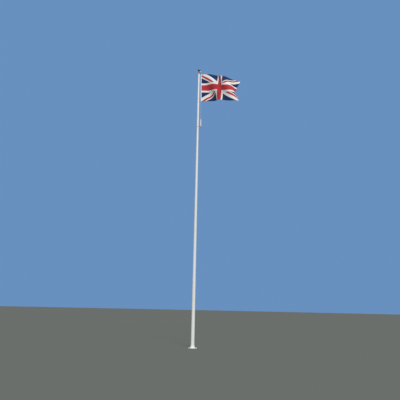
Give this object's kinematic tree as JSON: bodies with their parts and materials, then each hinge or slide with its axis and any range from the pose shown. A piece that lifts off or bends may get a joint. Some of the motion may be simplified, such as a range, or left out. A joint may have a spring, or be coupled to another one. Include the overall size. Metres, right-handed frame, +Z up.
{
  "type": "flagpole with revolving truck and national flag",
  "caption": "White tapered fibreglass flagpole on a flanged base shoe, with a revolving truck, gilt onion finial, a waving flag, and a counterweight on a beaded sling round the pole.",
  "frame": {"origin": "centre of the base shoe's flat underside, at ground level", "axes": "+Z up along the pole, +X the way the flag flies at rest, -Y towards the picture's camera, so +Y is the side of the halyard hatch"},
  "size_m": [2.0319, 1.2046, 12.1963],
  "materials": {
    "white_paint": "gloss white paint",
    "white_gelcoat": "smooth white gelcoat over fibreglass",
    "grey_laminate": "raw fibreglass laminate",
    "cast_metal": "satin cast aluminium, weathered",
    "steel": "stainless steel",
    "black_nylon": "moulded nylon",
    "gilt": "gilded, softly polished",
    "rope": "white braided polyester rope",
    "canvas": "white canvas",
    "flag_cloth": "woven polyester in red, white and blue",
    "white_plastic": "smooth white plastic",
    "bead_plastic": "moulded nylon beads"
  },
  "bodies": {
    "pole": {"base_shoe": "white_paint", "pole_lower": "white_gelcoat", "pole_ferrule": "grey_laminate", "pole_upper": "white_gelcoat", "hatch_frame": "white_paint", "hatch_door": "white_paint", "hatch_hinge": "steel", "hatch_lock": "steel", "head_plug": "cast_metal"},
    "truck": {"truck_spindle": "steel", "truck_body": "cast_metal", "sheave_pin": "steel", "finial_stem": "gilt", "finial": "gilt", "halyard": "rope", "halyard_eye": "rope", "top_link": "steel", "hoist_top_eye": "rope", "hoist_rope": "rope", "hoist_sleeve": "canvas", "flag": "flag_cloth", "hoist_foot_eye": "rope", "foot_link": "steel", "tail_top_eye": "rope", "tail_rope": "rope", "tail_foot_eye": "rope", "weight_top_eye": "steel", "weight_top_cap": "white_plastic", "weight_body": "white_plastic", "weight_foot_cap": "white_plastic", "weight_foot_eye": "steel", "sling": "steel", "sling_beads": "bead_plastic"},
    "sheave": {"sheave": "black_nylon"}
  },
  "joints": [
    {"name": "truck_turn", "type": "hinge", "parent": "pole", "child": "truck", "pos_m": [0, 0, 11.95], "axis": [0, 0, 1], "continuous": true},
    {"name": "sheave_turn", "type": "hinge", "parent": "truck", "child": "sheave", "pos_m": [0.042, 0, 12.0053], "axis": [0, 1, 0], "continuous": true}
  ]
}
